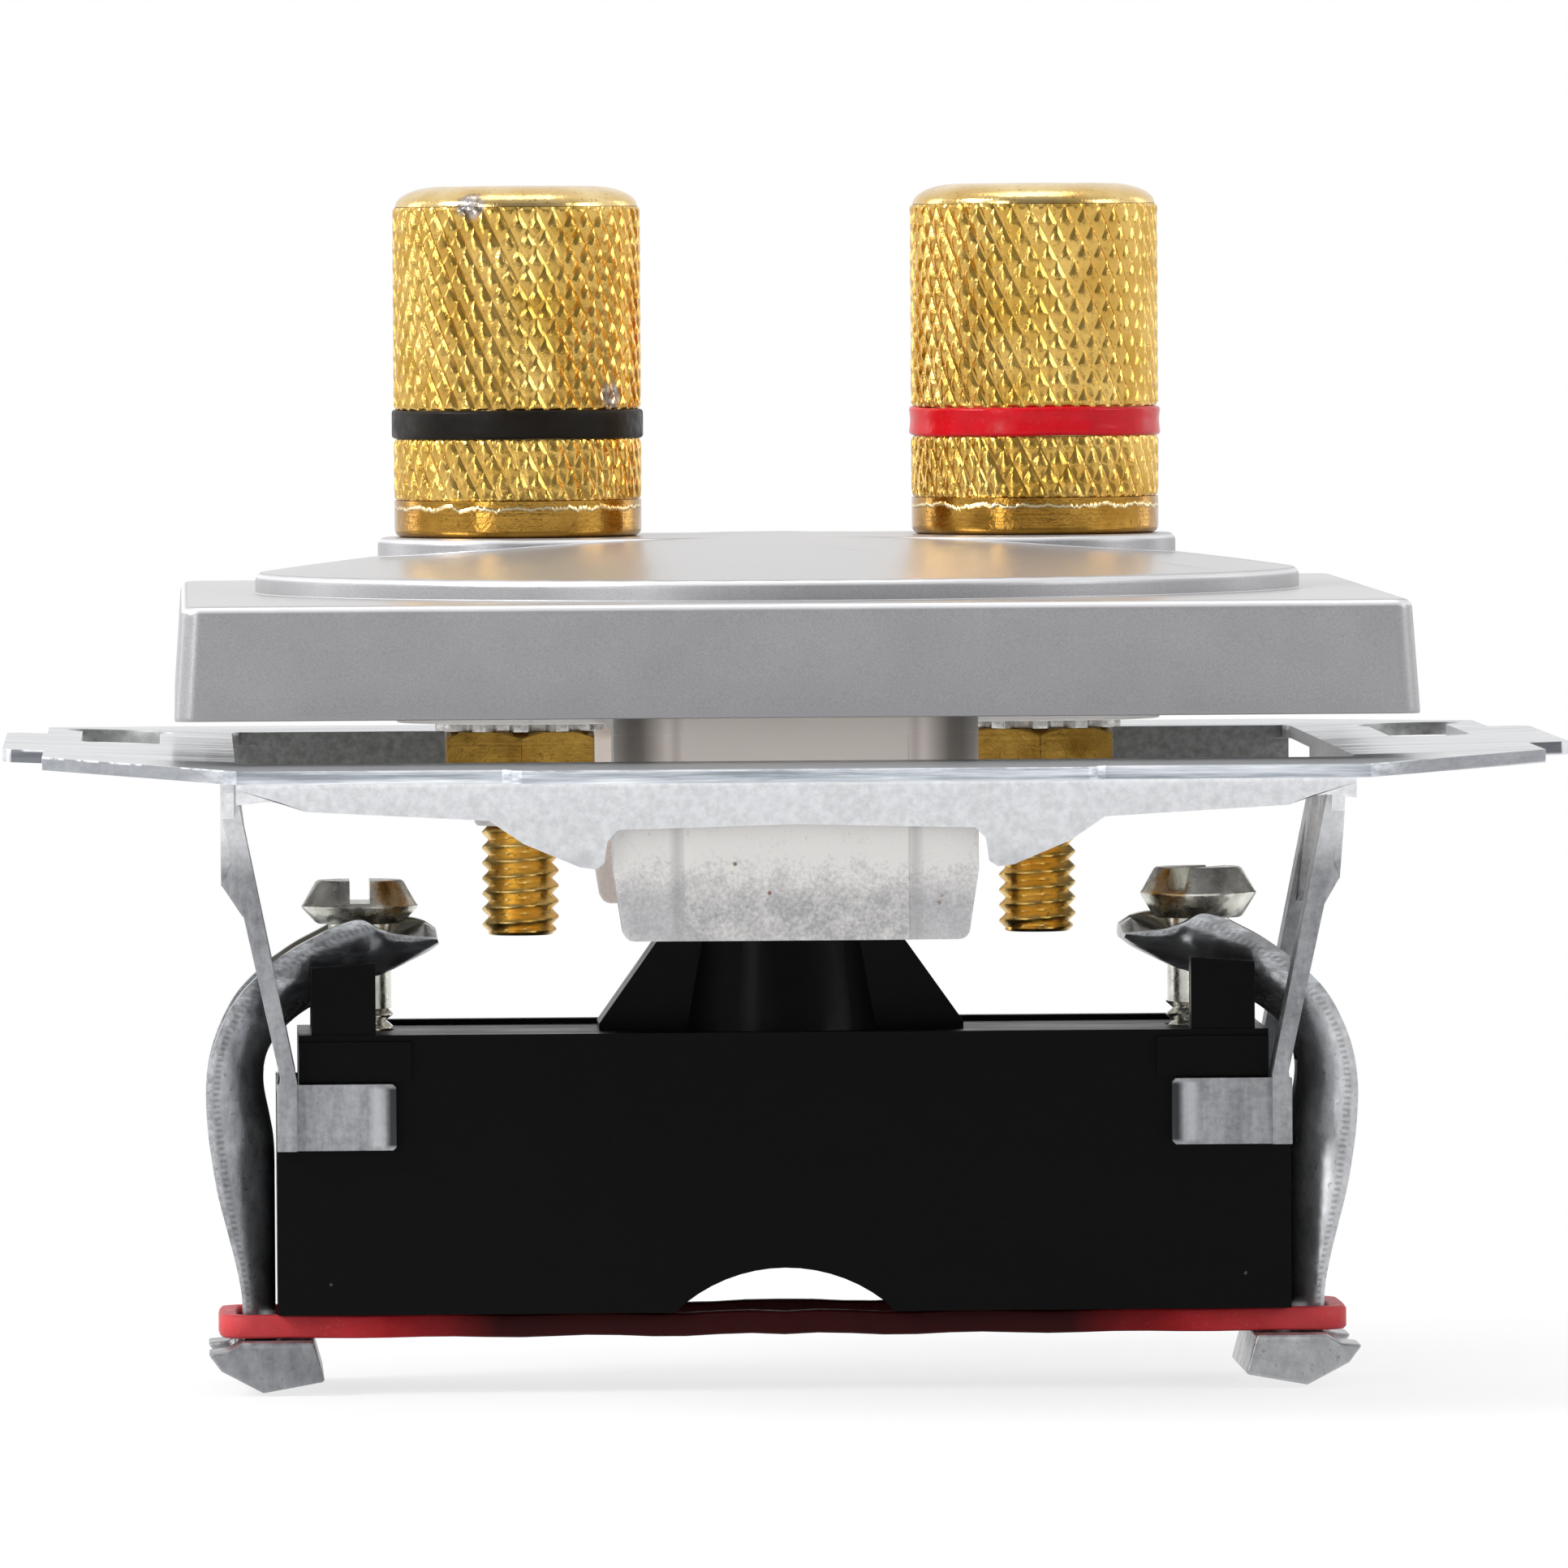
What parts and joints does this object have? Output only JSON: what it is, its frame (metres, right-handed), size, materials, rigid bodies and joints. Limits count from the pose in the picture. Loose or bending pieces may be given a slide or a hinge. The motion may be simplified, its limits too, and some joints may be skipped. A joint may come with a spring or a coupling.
{
  "type": "flush-mount loudspeaker outlet insert with binding posts",
  "caption": "Flush-mount loudspeaker outlet insert with knurled binding posts on a domed square cover, sheet support ring, screw-driven spreading claws and a red elastic band.",
  "frame": {"origin": "in the wall plane, on the underside of the support ring's plate, midway between the posts", "axes": "+Z out of the wall along the posts, +X from the black post to the red post, +Y up the wall"},
  "size_m": [0.0706, 0.0706, 0.0546],
  "materials": {
    "cover": "silver paint, satin, with a fine metallic sparkle",
    "nylon": "natural white nylon, lightly mottled",
    "zinc_sheet": "bright zinc plate with a fine mottle",
    "claw_steel": "dull zinc plate",
    "screw_steel": "zinc plate with a faint brown tint",
    "black_plastic": "black moulded plastic, satin",
    "gold": "gold-plated brass, bright",
    "ring_black": "matt black",
    "ring_red": "glossy red",
    "red_rubber": "matt red rubber"
  },
  "bodies": {
    "insert": {"cover_plate": "cover", "spacer": "nylon", "support_ring": "zinc_sheet", "claw_carrier": "black_plastic", "fixing_screw": "screw_steel", "post_black": "gold", "post_red": "gold", "toothed_washer_black": "screw_steel", "toothed_washer_red": "screw_steel", "nut_black": "gold", "nut_red": "gold", "stud_sleeve_black": "nylon", "stud_sleeve_red": "nylon", "claw_nut_left": "screw_steel", "claw_nut_right": "screw_steel", "elastic_band": "red_rubber"},
    "lift_black": {"colour_ring_black": "ring_black"},
    "turn_black": {"knob_black": "gold"},
    "lift_red": {"colour_ring_red": "ring_red"},
    "turn_red": {"knob_red": "gold"},
    "claw_left": {"claw_left": "claw_steel"},
    "claw_right": {"claw_right": "claw_steel"},
    "claw_screw_left": {"claw_screw_left": "screw_steel"},
    "claw_screw_right": {"claw_screw_right": "screw_steel"}
  },
  "joints": [
    {"name": "knob_lift_black", "type": "slide", "parent": "insert", "child": "lift_black", "axis": [0, 0, 1], "range_m": [0, 0.0056]},
    {"name": "knob_turn_black", "type": "hinge", "parent": "lift_black", "child": "turn_black", "pos_m": [-0.0118, 0, 0], "axis": [0, 0, 1], "range_deg": [0, 2885]},
    {"name": "knob_lift_red", "type": "slide", "parent": "insert", "child": "lift_red", "axis": [0, 0, 1], "range_m": [0, 0.0056]},
    {"name": "knob_turn_red", "type": "hinge", "parent": "lift_red", "child": "turn_red", "pos_m": [0.0118, 0, 0], "axis": [0, 0, 1], "range_deg": [0, 2885]},
    {"name": "claw_swing_left", "type": "hinge", "parent": "insert", "child": "claw_left", "pos_m": [-0.022, 0, -0.0123], "axis": [0, 1, 0], "range_deg": [0, 20], "stiffness_Nm_per_rad": 0.03, "springref_deg": -20.05, "deforming": ["elastic_band"]},
    {"name": "claw_screw_feed_left", "type": "slide", "parent": "insert", "child": "claw_screw_left", "axis": [0, 0, -1], "range_m": [0, 0.00106]},
    {"name": "claw_swing_right", "type": "hinge", "parent": "insert", "child": "claw_right", "pos_m": [0.022, 0, -0.0123], "axis": [0, -1, 0], "range_deg": [0, 20], "stiffness_Nm_per_rad": 0.03, "springref_deg": -20.05, "deforming": ["elastic_band"]},
    {"name": "claw_screw_feed_right", "type": "slide", "parent": "insert", "child": "claw_screw_right", "axis": [0, 0, -1], "range_m": [0, 0.00106]}
  ],
  "couplings": [
    {"joint": "knob_turn_black", "follows": "knob_lift_black", "rad_per_m": 8976},
    {"joint": "knob_turn_red", "follows": "knob_lift_red", "rad_per_m": 8976},
    {"joint": "claw_swing_left", "follows": "claw_screw_feed_left", "rad_per_m": 327.87},
    {"joint": "claw_swing_right", "follows": "claw_screw_feed_right", "rad_per_m": 327.87}
  ]
}
